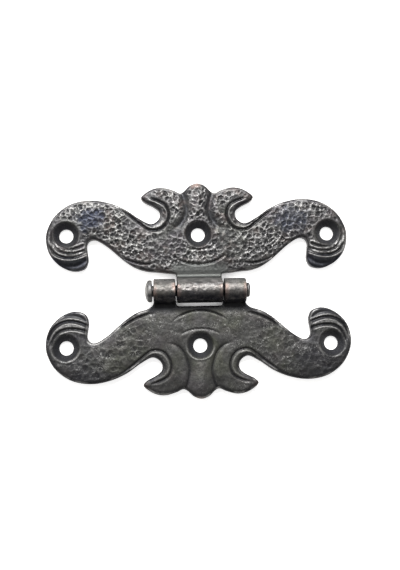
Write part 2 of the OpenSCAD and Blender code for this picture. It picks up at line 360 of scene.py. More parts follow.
    z = T + h
    # the cones of the countersinks
    cone = T - (SINK - near)
    soft = 0.22
    both = np.clip(0.5 + 0.5 * (z - cone) / soft, 0, 1)
    z = np.where(near < SINK + 0.6, z * (1 - both) + cone * both - soft * both * (1 - both), z)
    z = np.where(near < SINK - 0.6, cone, z)
    # rubbed wear along the rim, plus painted highlight arcs on the countersink lips, on their lower side only
    wear_and_lip_highlight = np.exp(-((d - 0.42) / 0.17) ** 2) * (1 - neck) + 0.8 * np.exp(-((near - SINK - 0.12) / 0.16) ** 2) * low_side
    wear_and_lip_highlight = wear_and_lip_highlight * smooth(0.42, 0.62, fbm(N + 90, 3.2, seed + 70, 3))
    # a second painted highlight arc round the countersinks of the lower leaf, on their lower side
    if not upper:
        wear_and_lip_highlight = np.maximum(wear_and_lip_highlight, 0.8 * np.exp(-((near - SINK - 0.45) / 0.13) ** 2) * low_side * smooth(0.30, 0.50, fbm(N + 40, 2.0, seed + 80, 2)))
    lobe = smooth(10.4, 8.9, y) * smooth(31.6, 32.4, C[:, 0]) * (1 - 0.8 * ridge)
    rib_hi = np.exp(-((C[:, 0] / 1.5) ** 2)) * smooth(20.2, 21.5, y) * smooth(31.0, 29.8, y)
    if upper:
        high = np.clip(high + 0.40 * rib_hi * (low < 0.35), 0, 1)
        # painted glint: a bright streak on the upper leaf's right arm, folded into the ridge mask
        glint = np.exp(-(((P[:, 0] - 33.0) / 4.2) ** 2 + ((P[:, 1] - 24.6 + 0.12 * (P[:, 0] - 33.0)) / 0.9) ** 2))
        high = np.clip(high + 1.2 * glint * (n1 > 0.0) * (low < 0.5), 0, 1)
    flange = flange * smooth(1.05, 0.75, d) * (1 - bead)
    masks = dict(flange=flange, lobe=lobe, wear_and_lip_highlight=wear_and_lip_highlight, low=low * (1 - calm), high=high * (1 - calm), ridge=ridge, cut=cut, calm=calm, val=val, neck=neck, near=near, bead=bead, scroll=scroll)
    return z, masks


# ---------------------------------------------------------------- mesh helpers
def make_mesh(name, verts_mm, faces):
    me = bpy.data.meshes.new(name)
    me.from_pydata((np.asarray(verts_mm) * MM).tolist(), [], [list(map(int, f)) for f in faces])
    me.validate()
    me.update()
    return me


def add_object(name, me):
    o = bpy.data.objects.new(name, me)
    bpy.context.scene.collection.objects.link(o)
    return o


def cdt(points, loops, extra):
    """Triangles of the region inside the first loop and outside the others."""
    pts = [tuple(p) for p in points] + [tuple(p) for p in extra]
    edges = []
    i = 0
    for n in loops:
        edges += [(i + k, i + (k + 1) % n) for k in range(n)]
        i += n
    out = delaunay_2d_cdt([Vector(p) for p in pts], edges, [], 1, 1e-7, False)
    V = np.array([(v[0], v[1]) for v in out[0]])
    F = np.array(out[2])
    return V, F


def domain(F, loops):
    """Which triangles lie in the region: those with a free corner, and those reached from them without crossing a loop."""
    fixed = set()
    i = 0
    for n in loops:
        fixed |= {(min(i + k, i + (k + 1) % n), max(i + k, i + (k + 1) % n)) for k in range(n)}
        i += n
    keep = (F >= i).any(axis=1)

    def free(t):
        e = {(min(a, b), max(a, b)) for a, b in ((t[0], t[1]), (t[1], t[2]), (t[2], t[0]))}
        return {p for p in e if p[1] < i} - fixed
    seen = set()
    for t in F[keep & ((F < i).sum(axis=1) == 2)].tolist():
        seen |= free(t)
    rest = np.nonzero(~keep)[0].tolist()
    more = True
    while more:
        more = False
        for r in rest:
            e = free(F[r].tolist())
            if not keep[r] and e & seen:
                keep[r] = more = True
                seen |= e
    return keep


def tree(P):
    t = KDTree(len(P))
    for i, p in enumerate(P):
        t.insert((p[0], p[1], 0), i)
    t.balance()
    return t


def nearest(t, P):
    return np.array([t.find((p[0], p[1], 0))[2] for p in P])


def inside(P, L):
    """Even-odd test of points P against the closed outline L."""
    out = np.zeros(len(P), bool)
    x, y = P[:, 0], P[:, 1]
    a = L
    b = np.roll(L, -1, axis=0)
    for (x1, y1), (x2, y2) in zip(a, b):
        if y1 == y2:
            continue
        k = ((y1 > y) != (y2 > y)) & (x < (x2 - x1) * (y - y1) / (y2 - y1) + x1)
        out ^= k
    return out


def plate_mesh(kind, step):
    """The plate as one closed mesh: the modelled face, the rim's wall, the holes and a flat back."""
    off = 0.8 if kind == "upper" else -0.25
    L = resample(rim(kind), step, True)
    n = len(L)
    nxt, prv = np.roll(L, -1, axis=0), np.roll(L, 1, axis=0)
    tan = nxt - prv
    tan /= np.linalg.norm(tan, axis=1)[:, None]
    nin = np.c_[-tan[:, 1], tan[:, 0]]            # counter-clockwise: left is inward
    dense = resample(rim(kind), 0.05, True)
    kd = tree(dense)
    centres = [(x, SY + off) for x in (-SX, 0.0, SX)]
    holes = []
    nh = 56
    for cx, cy in centres:
        a = np.linspace(0, 2 * math.pi, nh, endpoint=False)
        holes.append(np.c_[cx + HOLE * np.cos(a), cy + HOLE * np.sin(a)])
    extra = []
    offs = (0.10, 0.24, 0.42, 0.64)
    for k, o in enumerate(offs):
        q = L + nin * o
        dd = nearest(kd, q)
        extra.append(q[np.abs(dd - o) < 0.03 + 0.04 * o])
    for cx, cy in centres:
        for r in (2.18, 2.45, 2.8, 3.15, 3.45, 3.62, 3.72, 3.80, 3.90, 4.02, 4.2, 4.4):
            m = int(round(2 * math.pi * r / 0.2))
            a = np.linspace(0, 2 * math.pi, m, endpoint=False) + (0.5 / m if r > 2 else 0)
            extra.append(np.c_[cx + r * np.cos(a), cy + r * np.sin(a)])
    rings = np.vstack(extra)
    lo, hi = L.min(0), L.max(0)
    rows = np.arange(lo[1], hi[1], step * 0.866)
    g = []
    for k, yy in enumerate(rows):
        xs = np.arange(lo[0], hi[0], step) + (step / 2 if k % 2 else 0)
        g.append(np.c_[xs, np.full(len(xs), yy)])
    g = np.vstack(g)
    rng = np.random.default_rng(11 if kind == "upper" else 12)
    g += rng.uniform(-0.12, 0.12, g.shape) * step
    g = g[inside(g, L)]
    rr = np.min([np.hypot(g[:, 0] - cx, g[:, 1] - cy) for cx, cy in centres], axis=0)
    g = g[rr > 4.4 + 0.6 * step]
    g = g[nearest(kd, g) > offs[-1] + 0.6 * step]
    extra = np.vstack([rings, g])
    V, F = cdt(np.vstack([L] + holes), [n] + [nh] * 3, extra)
    F = F[domain(F, [n] + [nh] * 3)]
    d = nearest(kd, V)
    z, _ = relief(V, d, kind)
    nb = n + 3 * nh
    # wall levels under each loop: lower edge rounded in by 0.12 mm
    verts = [np.c_[V, z]]
    faces = [F]
    count = len(V)
    bottom = []
    i0 = 0
    for li, m in enumerate([n] + [nh] * 3):
        loop = np.arange(i0, i0 + m)
        P = V[loop]
        if li == 0:
            ins = nin
        else:
            cx, cy = centres[li - 1]
            ins = (P - [cx, cy]) / HOLE
        ztop = z[loop]
        levels = [(0.0, 0.66), (0.0, 0.33), (0.0, None), (0.05, "b"), (0.14, 0)]
        rows_i = [loop]
        for o, lv in levels:
            if lv is None:
                zz = np.full(m, 0.16)
            elif lv == "b":
                zz = np.full(m, 0.05)
            elif lv == 0:
                zz = np.zeros(m)
            else:
                zz = 0.16 + (ztop - 0.16) * lv
            q = P + ins * o
            verts.append(np.c_[q, zz])
            rows_i.append(np.arange(count, count + m))
            count += m
        for a, b in zip(rows_i[:-1], rows_i[1:]):
            a2, b2 = np.roll(a, -1), np.roll(b, -1)
            if li == 0:
                faces.append(np.c_[a, b, b2])
                faces.append(np.c_[a, b2, a2])
            else:
                faces.append(np.c_[a, b2, b])
                faces.append(np.c_[a, a2, b2])
        bottom.append((rows_i[-1], P + ins * levels[-1][0]))
        i0 += m
    # the back
    lo, hi = L.min(0), L.max(0)
    gx, gy = np.meshgrid(np.arange(lo[0], hi[0], 1.1), np.arange(lo[1], hi[1], 1.1))
    bg = np.c_[gx.ravel(), gy.ravel()] + rng.uniform(-0.2, 0.2, (gx.size, 2))
    bg = bg[inside(bg, L)]
    bg = bg[nearest(kd, bg) > 0.7]
    rr = np.min([np.hypot(bg[:, 0] - cx, bg[:, 1] - cy) for cx, cy in centres], axis=0)
    bg = bg[rr > HOLE + 0.6]
    B, BF = cdt(np.vstack([q for _, q in bottom]), [len(q) for _, q in bottom], bg)
    BF = BF[domain(BF, [len(q) for _, q in bottom])]
    nbb = sum(len(q) for _, q in bottom)
    index = np.r_[np.concatenate([i for i, _ in bottom]), np.arange(count, count + len(B) - nbb)]
    verts.append(np.c_[B[nbb:], np.zeros(len(B) - nbb)])
    faces.append(index[BF][:, ::-1])
    return np.vstack(verts), np.vstack(faces)


def tube_mesh(x0, x1, seed):
    """A knuckle: a thick tube along X with worn, rounded ends and its bore."""
    er = 0.28
    xs = [(x0, er), (x0 + 0.05, er * 0.45), (x0 + 0.14, er * 0.13), (x0 + er, 0.0)]
    m = int(round((x1 - x0 - 2 * er) / 0.3))
    xs += [(x, 0.0) for x in np.linspace(x0 + er, x1 - er, m + 1)[1:-1]]
    xs += [(x1 - er, 0.0), (x1 - 0.14, er * 0.13), (x1 - 0.05, er * 0.45), (x1, er)]
    ns = 96
    a = np.linspace(0, 2 * math.pi, ns, endpoint=False)
    V = []
    for x, ins in xs:
        P = np.c_[np.full(ns, x) * 1.0, a * KR]
        wrap = 0.5 * (1 + np.cos(a))
        bump = 0.10 * (fbm(P + seed, 1.0, seed, 3) - 0.75) - 0.10 * smooth(0.60, 0.85, fbm(P + seed + 50, 1.4, seed + 4, 2))
        bump = bump * np.minimum(1, 4 * np.minimum(a, 2 * math.pi - a))
        r = KR - 0.01 - ins + bump * (1.0 if ins == 0 else 0.6)
        V.append(np.c_[np.full(ns, x), -r * np.cos(a), AZ - r * np.sin(a)])
    for x, rr in ((x1, BORE + 0.12), (x1 - 0.12, BORE), (x0 + 0.12, BORE), (x0, BORE + 0.12)):
        V.append(np.c_[np.full(ns, x), -rr * np.cos(a), AZ - rr * np.sin(a)])
    V = np.array(V)
    k = len(V)
    V = V.reshape(-1, 3)
    F = []
    idx = np.arange(k * ns).reshape(k, ns)
    for i in range(k):
        p, q = idx[i], idx[(i + 1) % k]
        p2, q2 = np.roll(p, -1), np.roll(q, -1)
        F.append(np.c_[p, p2, q2, q])
    return V, np.vstack(F)


def web_mesh(x0, x1):
    """The neck's own solid from the plate up the side of the knuckle, with a filleted front."""
    fil = []
    for i in range(15):
        a = math.radians(270 - i * 6)
        fil.append((NECK_Y + NECK_R * math.cos(a), T + NECK_R + NECK_R * math.sin(a)))
    sec = np.array([(2.75, 0.02), (NECK_Y + 0.9, 0.02), (NECK_Y + 0.9, T - 0.10), (NECK_Y + 0.35, T - 0.02)] + fil + [(2.1, AZ + 0.3), (1.75, 1.7), (2.0, 0.6)])
    n = len(sec)
    nrm = np.zeros((n, 2))
    for i in range(3, 3 + len(fil) + 1):
        t = sec[min(i + 1, n - 1)] - sec[i - 1]
        t /= np.linalg.norm(t)
        nrm[i] = (t[1], -t[0])
    er = 0.28
    xs = [(x0 + 0.012, er), (x0 + 0.05, er * 0.45), (x0 + 0.14, er * 0.13), (x0 + er, 0.0)]
    m = int(round((x1 - x0 - 2 * er) / 0.5))
    xs += [(x, 0.0) for x in np.linspace(x0 + er, x1 - er, m + 1)[1:-1]]
    xs += [(x1 - er, 0.0), (x1 - 0.14, er * 0.13), (x1 - 0.05, er * 0.45), (x1 - 0.012, er)]
    V = []
    for x, ins in xs:
        s = sec - nrm * ins
        V.append(np.c_[np.full(n, x), s])
    V = np.vstack(V)
    k = len(xs)
    idx = np.arange(k * n).reshape(k, n)
    F = []
    for i in range(k - 1):
        for j in range(n):
            j2 = (j + 1) % n
            F.append((idx[i, j], idx[i, j2], idx[i + 1, j2], idx[i + 1, j]))
    F.append(tuple(idx[0][::-1]))
    F.append(tuple(idx[-1]))
    return V, F


def outward(me):
    bm = bmesh.new()
    bm.from_mesh(me)
    bmesh.ops.recalc_face_normals(bm, faces=bm.faces)
    if bm.calc_volume(signed=True) < 0:
        bmesh.ops.reverse_faces(bm, faces=bm.faces)
    bmesh.ops.triangulate(bm, faces=bm.faces)
    bm.to_mesh(me)
    bm.free()


def union(base, others):
    """One closed mesh from base and the others."""
    for o in others:
        md = base.modifiers.new("join", "BOOLEAN")
        md.operation = "UNION"
        md.solver = "MANIFOLD"
        md.object = o
    dg = bpy.context.evaluated_depsgraph_get()
    me = bpy.data.meshes.new_from_object(base.evaluated_get(dg))
    base.modifiers.clear()
    old = base.data
    base.data = me
    print(base.name, "joined:", len(old.vertices), "->", len(me.vertices))
    bpy.data.meshes.remove(old)
    for o in others:
        m = o.data
        bpy.data.objects.remove(o)
        bpy.data.meshes.remove(m)


def finish_shading(me, angle=38):
    bm = bmesh.new()
    bm.from_mesh(me)
    bmesh.ops.dissolve_degenerate(bm, edges=bm.edges, dist=1e-7)
    lim = math.radians(angle)
    for f in bm.faces:
        f.smooth = True
    for e in bm.edges:
        e.smooth = len(e.link_faces) == 2 and e.calc_face_angle(0) < lim
    bm.to_mesh(me)
    bm.free()


STEP = 0.2


def build_leaf(kind):
    V, F = plate_mesh(kind, STEP)
    me = make_mesh(kind + "_leaf_cast", V, F)
    outward(me)
    leaf = add_object(kind + "_leaf_cast", me)
    extra = []
    spans = [(-MID, MID)] if kind == "upper" else [(-O_OUT, -O_IN), (O_IN, O_OUT)]
    for i, (a, b) in enumerate(spans):
        for tag, (v, f) in (("web", web_mesh(a, b)), ("tube", tube_mesh(a, b, 5 + 7 * i + (0 if kind == "upper" else 20)))):
            m = make_mesh(tag, v, f)
            outward(m)
            extra.append(add_object(tag, m))
    union(leaf, extra)
    me = leaf.data
    me.materials.clear()
    me.polygons.foreach_set("material_index", [0] * len(me.polygons))
    finish_shading(me)
    # masks for the material, from where each vertex lies
    n = len(me.vertices)
    co = np.empty(n * 3)
    me.vertices.foreach_get("co", co)
    co = co.reshape(-1, 3) / MM
    P = co[:, :2].copy()
    dense = resample(rim(kind), 0.08, True)
    d = nearest(tree(dense), P)
    d = np.where(inside(P, dense), d, 0)
    z, mk = relief(P, d, kind)
    face = smooth(0.9, 0.25, np.abs(co[:, 2] - z)) * (P[:, 1] > 2.0)
    world_y = co[:, 1] * (1 if kind == "upper" else -1)
    low, high = mk["low"], mk["high"]
    crest_tip = smooth(29.9, 31.4, P[:, 1]) * smooth(2.0, 0.8, np.abs(P[:, 0] + 0.5))
    horn_tip = smooth(14.2, 16.2, np.abs(P[:, 0])) * smooth(17.5, 16.9, np.abs(P[:, 0])) * smooth(25.8, 26.4, P[:, 1])
    off = 0.8 if kind == "upper" else -0.25
    rad = np.hypot(co[:, 1], co[:, 2] - AZ)
    barrel = smooth(KR + 0.55, KR + 0.12, rad)
    ends = np.zeros(n)
    for a, b in spans:
        for e in (a, b):
            ends = np.maximum(ends, smooth(1.5, 0.3, np.abs(co[:, 0] - e)))
    knuckle_end = ends * barrel * smooth(0.15, 0.75, (co[:, 2] - AZ) / KR + 0.0 * world_y)
    # painted shade: the underside of each barrel, facing away from the light, is darkened towards black
    painted_underside_shade = barrel * smooth(0.10, 0.62, -world_y / KR)
    # painted highlight: a light band along each barrel just above its axis
    painted_barrel_highlight = barrel * np.exp(-((world_y / KR - 0.10) / 0.24) ** 2) * (co[:, 2] > AZ)
    near_x = smooth(MID + 0.4, MID, np.abs(P[:, 0])) if kind == "upper" else 0.0
    # painted shade over the neck's fillet, damping its bright reflection
    fillet = smooth(6.3, 5.7, P[:, 1]) * (P[:, 1] > 2.4) * smooth(0.0, 0.2, rad - KR) * smooth(-0.5, -0.1, co[:, 2] - T) * near_x
    # painted light: the top of each barrel, facing the light, is lightened
    top = barrel * smooth(0.45, 0.80, world_y / KR)
    # painted light along the line where the neck runs up into the barrel, lifting the dark reflection there
    painted_seam_light = np.exp(-((rad - KR - 0.12) / 0.16) ** 2) * (world_y > 0.7 * KR) * near_x * (co[:, 2] > 0.5 * AZ)
    stain = np.zeros(n)
    if kind == "upper":
        for cx, cy, rx, ry, amt in ((-31.8, 21.7, 4.7, 3.8, 1.0), (27.5, 20.8, 5.2, 4.2, 0.62)):
            r = np.hypot((P[:, 0] - cx) / rx, (P[:, 1] - cy) / ry) + 0.9 * (fbm(P, 2.6, 77, 3) - 0.5)
            stain = np.maximum(stain, amt * smooth(1.15, 0.55, r))
    else:
        for cx, cy, rx, ry, amt in ((33.0, 22.0, 9.0, 5.5, 0.75), (-30.0, 24.5, 9.0, 2.2, 0.6), (-12.5, 26.5, 4.0, 2.5, 0.4)):
            r = np.hypot((P[:, 0] - cx) / rx, (P[:, 1] - cy) / ry) + 0.9 * (fbm(P, 2.6, 87, 3) - 0.5)
            stain = np.maximum(stain, amt * smooth(1.15, 0.55, r))
    # scuffs are few on the lower crest
    rubbed = np.ones(n) if kind == "upper" else 0.15 + 0.85 * np.maximum(smooth(7.0, 11.0, np.abs(P[:, 0])), smooth(15.0, 11.0, P[:, 1]))
    # painted shade: a darker band along the rounded rim where the face curves away from the light
    rim_painted_shade = smooth(1.3 if kind == "upper" else 1.8, 0.15 if kind == "upper" else 0.4, d) * face
    for name, val in dict(low=low * face, high=high * face, cut=mk["cut"] * face, rim=rim_painted_shade, calm=mk["calm"] * face,
                          ridge=mk["ridge"] * face, wear_and_lip_highlight=mk["wear_and_lip_highlight"] * face, painted_underside_shade=painted_underside_shade, painted_barrel_highlight=painted_barrel_highlight, fillet=fillet, painted_seam_light=painted_seam_light, top=top, rubbed=rubbed, lobe=mk["lobe"] * face, flange=mk["flange"] * face, far=smooth(22, 36, np.abs(P[:, 0])), copper=np.clip(crest_tip + (0.10 if kind == "upper" else 0.30) * horn_tip, 0, 1), knuckle_end=knuckle_end, barrel=barrel,
                          stain=stain, neck=np.clip(mk["neck"], 0, 1) * face * (1.0 if kind == "upper" else 0.30 + 0.70 * smooth(5.6, 8.4, np.abs(P[:, 0]))), bead=mk["bead"] * face,
                          sink=smooth(SINK - 0.02, SINK - 0.45, mk["near"]), val=mk["val"] * face, front=face).items():
        at = me.attributes.new(name, "FLOAT", "POINT")
        at.data.foreach_set("value", np.asarray(val, np.float32))
    if kind == "lower":
        # the lower leaf is drawn with +y away from the pin, so it is turned over to -y
        me.transform(Matrix.Diagonal((1, -1, 1, 1)))
        me.flip_normals()
    me.update()
    bm = bmesh.new()
    bm.from_mesh(me)
    print(kind, "leaf:", n, "vertices,", len(me.polygons), "faces,", sum(not e.is_manifold for e in bm.edges), "open edges")
    bm.free()
    return leaf


def revolve(name, profile, seg, x_sign=1):
    """A closed solid of revolution about the pin's axis from (x, r) pairs, ends on the axis."""
    V, F = [], []
    a = np.linspace(0, 2 * math.pi, seg, endpoint=False)
    rings = []
    for x, r in profile:
        if r < 1e-6:
            rings.append([len(V)])
            V.append((x, 0.0, AZ))
        else:
            rings.append(list(range(len(V), len(V) + seg)))
            V += [(x, r * math.cos(t), AZ + r * math.sin(t)) for t in a]
    for p, q in zip(rings[:-1], rings[1:]):
        for j in range(seg):
            j2 = (j + 1) % seg
            if len(p) == 1:
                F.append((p[0], q[j], q[j2]))
            elif len(q) == 1:
                F.append((p[j], q[0], p[j2]))
            else:
                F.append((p[j], q[j], q[j2], p[j2]))
    me = make_mesh(name, V, F)
    outward(me)
    return me


def build_pin():
    hx = -O_OUT - 0.4
    tx = O_OUT + 0.3
    prof = [(hx - 2.1, 0.0)]
    for i in range(1, 19):
        a = math.radians(90 - i * 5)
        prof.append((hx - 0.8 - 1.3 * math.sin(a), 3.2 * math.cos(a)))
    prof += [(hx - 0.55, 3.2), (hx - 0.3, 3.19), (hx - 0.12, 3.12), (hx - 0.02, 2.98), (hx, 2.8), (hx, 1.75), (hx + 0.12, 1.6)]
    prof += [(x, 1.6) for x in np.linspace(hx + 0.6, tx - 0.4, 36)]
    prof += [(tx - 0.1, 1.6), (tx, 1.7), (tx, 1.95), (tx + 0.06, 2.05), (tx + 0.2, 2.1), (tx + 0.5, 2.09), (tx + 0.68, 2.0),
             (tx + 0.82, 1.82), (tx + 0.93, 1.5), (tx + 0.99, 1.05), (tx + 1.0, 0.75), (tx + 0.96, 0.45), (tx + 0.94, 0.2), (tx + 0.94, 0.0)]
    me = revolve("pin_turned", prof, 72)
    # hammer marks on the head and tail, kept inside the turned shape
    n = len(me.vertices)
    co = np.empty(n * 3)
    me.vertices.foreach_get("co", co)
    co = co.reshape(-1, 3) / MM
    ends = np.maximum(smooth(hx - 0.1, hx - 0.5, co[:, 0]), smooth(tx + 0.3, tx + 0.6, co[:, 0]))
    P = np.c_[co[:, 1] * 1.3, (co[:, 2] - AZ) * 1.3]
    dent = (0.5 - fbm(P + 31, 1.4, 15, 3)) * 0.16
    dent = np.minimum(dent, 0.0) * ends
    co[:, 0] += np.where(co[:, 0] < 0, -dent, dent)
    me.vertices.foreach_set("co", (co * MM).ravel())
    finish_shading(me, 42)
    at = me.attributes.new("shank", "FLOAT", "POINT")
    x = np.abs(co[:, 0])
    at.data.foreach_set("value", np.asarray(smooth(O_OUT + 0.35, O_OUT + 0.1, x), np.float32))
    me.update()
    return add_object("pin_turned", me)


# ---------------------------------------------------------------- materials
class Nodes:
    def __init__(self, name):
        self.m = bpy.data.materials.new(name)
        self.m.use_nodes = True
        self.t = self.m.node_tree
        self.t.nodes.clear()

    def add(self, kind, **kw):
        n = self.t.nodes.new(kind)
        for k, v in kw.items():
            setattr(n, k, v)
        return n

    def link(self, a, b):
        self.t.links.new(a, b)

    def attr(self, name):
        return self.add("ShaderNodeAttribute", attribute_name=name).outputs["Fac"]

    def noise(self, scale, detail=4.0, rough=0.55, dist=0.0, seed=0.0):
        tc = self.add("ShaderNodeTexCoord").outputs["Object"]
        mp = self.add("ShaderNodeMapping")
        mp.inputs["Location"].default_value = (seed, seed * 0.7, seed * 1.3)
        self.link(tc, mp.inputs["Vector"])
        n = self.add("ShaderNodeTexNoise")
        n.inputs["Scale"].default_value = scale
        n.inputs["Detail"].default_value = detail
        n.inputs["Roughness"].default_value = rough
        n.inputs["Distortion"].default_value = dist
        self.link(mp.outputs["Vector"], n.inputs["Vector"])
        return n.outputs["Fac"]

    def voronoi(self, scale, seed=0.0):
        tc = self.add("ShaderNodeTexCoord").outputs["Object"]
        mp = self.add("ShaderNodeMapping")
        mp.inputs["Location"].default_value = (seed, seed * 0.7, seed * 1.3)
        self.link(tc, mp.inputs["Vector"])
        n = self.add("ShaderNodeTexVoronoi")
        n.inputs["Scale"].default_value = scale
        self.link(mp.outputs["Vector"], n.inputs["Vector"])
        return n.outputs["Distance"]

    def ramp(self, fac, *stops):
        n = self.add("ShaderNodeValToRGB")
        cr = n.color_ramp
        while len(cr.elements) < len(stops):
            cr.elements.new(0.5)
        for e, (p, c) in zip(cr.elements, stops):
            e.position = p
            e.color = (c, c, c, 1) if not isinstance(c, tuple) else (*c, 1)
        self.link(fac, n.inputs["Fac"])
        return n.outputs["Color"]

    def math(self, op, a, b=None, clamp=False):
        n = self.add("ShaderNodeMath", operation=op, use_clamp=clamp)
        for i, v in enumerate((a, b)):
            if v is None:
                continue
            if isinstance(v, (int, float)):
                n.inputs[i].default_value = v
            else:
                self.link(v, n.inputs[i])
        return n.outputs[0]

    def mix(self, fac, a, b, mode="MIX"):
        n = self.add("ShaderNodeMix", data_type="RGBA", blend_type=mode)
        n.inputs["Factor"].default_value = 1.0
        for sock, v in ((n.inputs[0], fac), (n.inputs[6], a), (n.inputs[7], b)):
            if isinstance(v, tuple):
                sock.default_value = (*v, 1)
            elif isinstance(v, (int, float)):
                sock.default_value = v
            else:
                self.link(v, sock)
        return n.outputs[2]


def cast_metal(name, upper):
    """Blackened copper-flashed casting, rubbed back: dark in the dimples, grey on the ridges, copper at the tips."""
    N = Nodes(name)
    k = 0.0 if upper else 0.31
    dark = (0.050, 0.049, 0.050) if upper else (0.066, 0.065, 0.061)
    mid = (0.150, 0.149, 0.149) if upper else (0.140, 0.139, 0.133)
    light = (0.56, 0.55, 0.535) if upper else (0.40, 0.39, 0.375)
    big = N.noise(220, 5, 0.6, 0.4, 1 + k)
    fine = N.noise(1500, 4, 0.6, 0.0, 2 + k)
    grain = N.noise(4200, 3, 0.6, 0.0, 3 + k)
    base = N.mix(N.ramp(big, (0.30, 0.0), (0.70, 1.0)), dark, mid)
    # olive and mauve casts in the patina
    olive = N.ramp(N.noise(130, 3, 0.5, 0.6, 5 + k), (0.45, 0.0), (0.68, 1.0))
    mauve = N.ramp(N.noise(160, 3, 0.5, 0.6, 9 + k), (0.48, 0.0), (0.70, 1.0))
    base = N.mix(N.math("MULTIPLY", olive, 0.40 if upper else 0.65), base, (0.115, 0.120, 0.090))
    base = N.mix(N.math("MULTIPLY", mauve, 0.30 if upper else 0.20), base, (0.120, 0.092, 0.118))
    if not upper:
        base = N.mix(N.math("MULTIPLY", N.attr("far"), 0.45), base, (0.066, 0.066, 0.078))
    # dimples keep the black, ridges are rubbed bright, and a painted glint streak lies on the upper leaf
    base = N.mix(N.math("MULTIPLY", N.attr("low"), 0.95 if upper else 0.80), base, (0.014, 0.014, 0.016) if upper else (0.022, 0.022, 0.025))
    rub = N.math("MULTIPLY", N.attr("high"), N.ramp(fine, (0.36, 0.1), (0.62, 1.0)))
    base = N.mix(N.math("MULTIPLY", rub, 0.90 if upper else 0.55), base, light)
    speck = N.math("MULTIPLY", N.ramp(fine, (0.60, 0.0), (0.72, 1.0)), N.math("SUBTRACT", 1.0, N.attr("low"), True))
    base = N.mix(N.math("MULTIPLY", speck, 0.40 if upper else 0.30), base, light)
    scuff = N.math("MULTIPLY", N.ramp(N.noise(2600 if upper else 3000, 3, 0.7, 0.4, 6 + 1.7 * k), (0.57 if upper else 0.54, 0.0), (0.66 if upper else 0.67, 1.0)), N.ramp(N.noise(300, 3, 0.6, 0.5, 7 + 2.3 * k), (0.45, 0.0), (0.62, 1.0)))
    base = N.mix(N.math("MULTIPLY", N.math("MULTIPLY", scuff, N.attr("rubbed")), 0.42 if upper else 0.85), base, (0.42, 0.41, 0.40) if upper else (0.60, 0.59, 0.57))
    base = N.mix(N.math("MULTIPLY", N.attr("cut"), 0.80), base, (0.014, 0.014, 0.018))
    base = N.mix(N.math("MULTIPLY", N.attr("val"), 0.80 if upper else 0.2), base, (0.038, 0.040, 0.045))
    base = N.mix(N.math("MULTIPLY", N.attr("bead"), 0.35), base, light)
    base = N.mix(N.math("MULTIPLY", N.math("MULTIPLY", N.attr("ridge"), N.ramp(fine, (0.35, 0.2), (0.65, 1.0))), 0.72 if upper else 0.85), base, light if upper else (0.50, 0.49, 0.475))
    # painted shade along the rim
    base = N.mix(N.math("MULTIPLY", N.attr("rim"), N.ramp(big, (0.3, 0.50), (0.7, 0.90))), base, (0.040, 0.039, 0.044) if upper else (0.030, 0.030, 0.034))
    # rubbed rim wear and painted highlight arcs at the countersinks
    base = N.mix(N.math("MULTIPLY", N.attr("wear_and_lip_highlight"), 0.65 if upper else 0.80), base, light if upper else (0.52, 0.51, 0.495))
    warm = N.ramp(N.noise(260, 4, 0.6, 0.5, 41 + k), (0.52, 0.0), (0.70, 1.0))
    base = N.mix(N.math("MULTIPLY", warm, 0.30 if upper else 0.16), base, (0.170, 0.128, 0.112) if upper else (0.135, 0.112, 0.100))
    # the calm strip of the neck is an even grey-green
    base = N.mix(N.math("MULTIPLY", N.attr("neck"), 0.75 if upper else 0.72), base, N.mix(N.ramp(fine, (0.3, 0.0), (0.7, 1.0)), (0.100, 0.105, 0.099), (0.170, 0.179, 0.168)) if upper else (0.032, 0.033, 0.040))
    base = N.mix(N.math("MULTIPLY", N.attr("flange"), 0.60 if upper else 0.70), base, (0.036, 0.036, 0.042))
    base = N.mix(N.math("MULTIPLY", N.attr("stain"), 0.76 if upper else 0.62), base, (0.036, 0.043, 0.068) if upper else (0.036, 0.036, 0.043))
    # countersinks stay blue-black
    base = N.mix(N.math("MULTIPLY", N.attr("sink"), 0.75), base, (0.050, 0.051, 0.060))
    base = N.mix(N.math("MULTIPLY", N.attr("lobe"), 0.74 if upper else 0.40), base, (0.026, 0.029, 0.040) if upper else (0.040, 0.042, 0.050))
    # grain a few tenths of a millimetre across
    base = N.mix(N.ramp(N.noise(2900, 3, 0.7, 0.0, 27 + k), (0.48, 0.0), (0.66, 0.50)), base, (0.030, 0.030, 0.033))
    # walls and the back are unworn, and painted extra dark as shade against the light thrown up by the floor
    cast = N.mix(N.ramp(N.noise(900, 4, 0.65, 0.3, 33 + k), (0.38, 0.0), (0.66, 1.0)), (0.026, 0.025, 0.028), (0.062, 0.060, 0.060))
    cast = N.mix(N.ramp(N.noise(3200, 3, 0.6, 0.0, 35 + k), (0.62, 0.0), (0.72, 0.7)), cast, (0.13, 0.125, 0.12))
    base = N.mix(N.math("SUBTRACT", 1.0, N.math("MAXIMUM", N.attr("front"), N.attr("barrel")), True), base, cast)
    # worn to copper
    cop = N.math("MULTIPLY", N.attr("copper"), N.ramp(fine, (0.30, 0.35), (0.60, 1.0)))
    base = N.mix(N.math("MULTIPLY", cop, 0.60 if upper else 0.35), base, (0.36, 0.25, 0.21))
    bar = N.ramp(N.noise(420, 4, 0.6, 0.3, 14 + k), (0.40, 0.0), (0.62, 1.0))
    ke = N.math("MULTIPLY", N.attr("knuckle_end"), bar)
    base = N.mix(N.math("MULTIPLY", N.math("MULTIPLY", N.attr("barrel"), bar), 0.35), base, (0.24, 0.215, 0.20))
